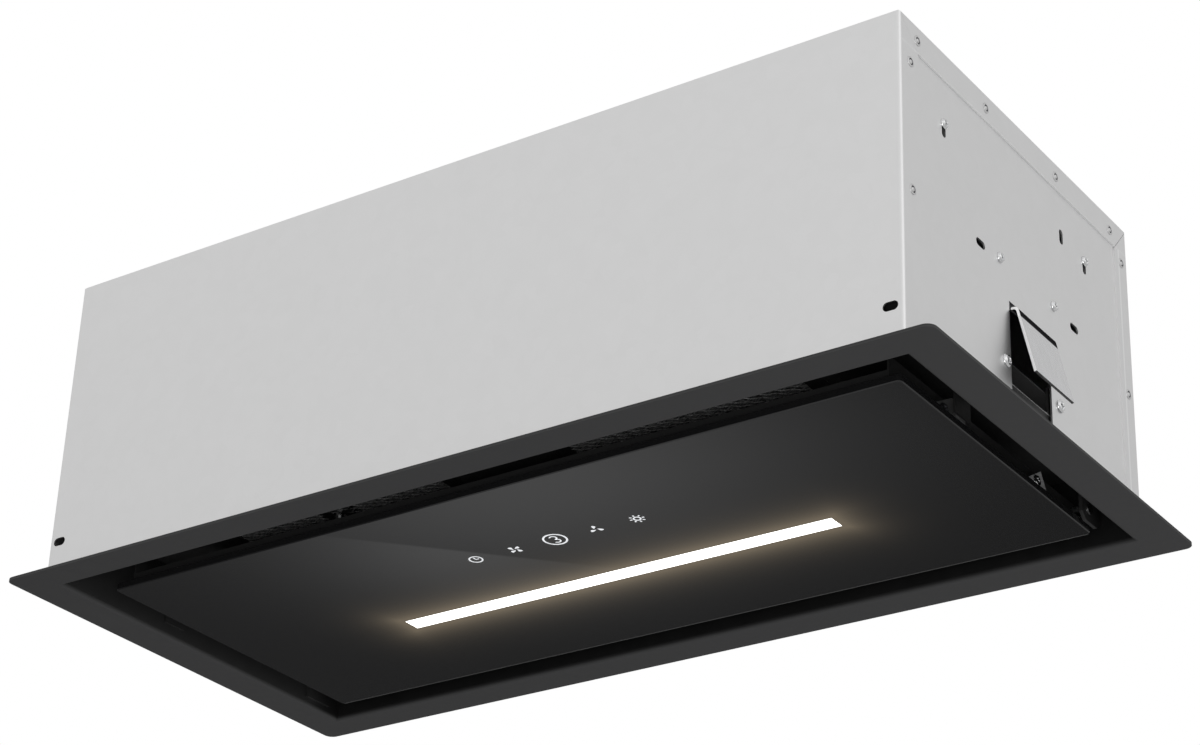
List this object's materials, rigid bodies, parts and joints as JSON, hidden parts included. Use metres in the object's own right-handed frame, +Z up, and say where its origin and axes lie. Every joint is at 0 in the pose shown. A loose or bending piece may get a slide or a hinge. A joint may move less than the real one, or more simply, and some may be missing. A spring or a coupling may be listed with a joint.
{
  "type": "built-in range hood",
  "caption": "Built-in range hood: folded steel casing with blower and duct outlet, black flange frame, spring clips, and a hinged black glass panel with light bar over mesh filters.",
  "frame": {"origin": "centre of the flange's underside, the lowest plane of the hood", "axes": "+X to the right along the hood's length, +Y to the back, +Z up; the cook stands at -Y"},
  "size_m": [0.598, 0.2924, 0.2226],
  "materials": {
    "galvanised": "smooth zinc coating, satin",
    "grey_zinc": "dull grey zinc plate",
    "zinc": "bright zinc plate",
    "rivet_steel": "dull zinc",
    "spring_steel": "smooth, satin",
    "black_coat": "fine matt powder coat",
    "filter_rail": "black coated",
    "filter_mesh": "expanded mesh, dark",
    "black_glass": "black glass, painted on the back, polished",
    "opal": "opal light bar",
    "circuit_board": "circuit board",
    "catch_plastic": "dark grey moulding",
    "black_plastic": "moulded, satin",
    "grey_plastic": "moulded, satin",
    "motor_steel": "turned steel",
    "mount_rubber": "matt"
  },
  "bodies": {
    "casing": {"casing_wrap": "galvanised", "end_plate_left": "galvanised", "end_plate_right": "galvanised", "casing_rivets": "rivet_steel", "flange_frame": "black_coat", "frame_screws": "zinc", "filter_tray": "black_coat", "filter_frame_left": "filter_rail", "filter_frame_right": "filter_rail", "filter_mesh_left": "filter_mesh", "filter_mesh_right": "filter_mesh", "clip_base_left": "spring_steel", "clip_base_right": "spring_steel", "clip_screws": "zinc", "control_bracket": "galvanised", "driver_bracket": "galvanised", "bracket_screws": "zinc", "control_box": "grey_plastic", "control_lid": "grey_plastic", "control_board": "circuit_board", "light_driver": "grey_plastic", "scroll_left": "black_plastic", "scroll_right": "black_plastic", "scroll_screws": "zinc", "motor": "motor_steel", "motor_spider": "galvanised", "motor_mounts": "mount_rubber", "outlet_collar": "black_plastic", "damper_spindle": "zinc", "cable_gland": "black_plastic", "hinge_bracket_left": "black_coat", "hinge_bracket_right": "black_coat", "catch_striker_left": "black_coat", "catch_striker_right": "black_coat"},
    "panel": {"glass_panel": "black_glass", "panel_carrier": "black_coat", "light_diffuser": "opal", "light_housing": "galvanised", "light_board": "circuit_board", "touch_board": "circuit_board", "hinge_arm_left": "black_coat", "hinge_arm_right": "black_coat", "hinge_gusset_left": "grey_zinc", "hinge_gusset_right": "grey_zinc", "hinge_pins": "zinc", "catch_block_left": "catch_plastic", "catch_block_right": "catch_plastic", "panel_screws": "zinc"},
    "fan": {"impeller": "black_plastic", "motor_shaft": "motor_steel"},
    "damper_front": {"damper_flap_front": "black_plastic"},
    "damper_back": {"damper_flap_back": "black_plastic"},
    "clip_left": {"clip_leaf_left": "spring_steel"},
    "clip_right": {"clip_leaf_right": "spring_steel"},
    "latch_left": {"filter_latch_left": "zinc"},
    "latch_right": {"filter_latch_right": "zinc"}
  },
  "joints": [
    {"name": "panel_hinge", "type": "hinge", "parent": "casing", "child": "panel", "pos_m": [0, 0.0996, 0.013], "axis": [1, 0, 0], "range_deg": [0, 85]},
    {"name": "fan_spin", "type": "hinge", "parent": "casing", "child": "fan", "pos_m": [0, 0, 0.113], "axis": [1, 0, 0], "continuous": true},
    {"name": "damper_front_hinge", "type": "hinge", "parent": "casing", "child": "damper_front", "pos_m": [0, 0, 0.2003], "axis": [-1, 0, 0], "range_deg": [0, 75]},
    {"name": "damper_back_hinge", "type": "hinge", "parent": "casing", "child": "damper_back", "pos_m": [0, 0, 0.2003], "axis": [1, 0, 0], "range_deg": [0, 75]},
    {"name": "clip_right_flex", "type": "hinge", "parent": "casing", "child": "clip_right", "pos_m": [0.2784, 0, 0.073], "axis": [0, 1, 0], "range_deg": [0, 17], "stiffness_Nm_per_rad": 1, "springref_deg": -2.86},
    {"name": "clip_left_flex", "type": "hinge", "parent": "casing", "child": "clip_left", "pos_m": [-0.2784, 0, 0.073], "axis": [0, -1, 0], "range_deg": [0, 17], "stiffness_Nm_per_rad": 1, "springref_deg": -2.86},
    {"name": "latch_left_slide", "type": "slide", "parent": "casing", "child": "latch_left", "axis": [0, 1, 0], "range_m": [0, 0.005], "stiffness_N_per_m": 300, "springref_m": -0.002},
    {"name": "latch_right_slide", "type": "slide", "parent": "casing", "child": "latch_right", "axis": [0, -1, 0], "range_m": [0, 0.005], "stiffness_N_per_m": 300, "springref_m": -0.002}
  ]
}
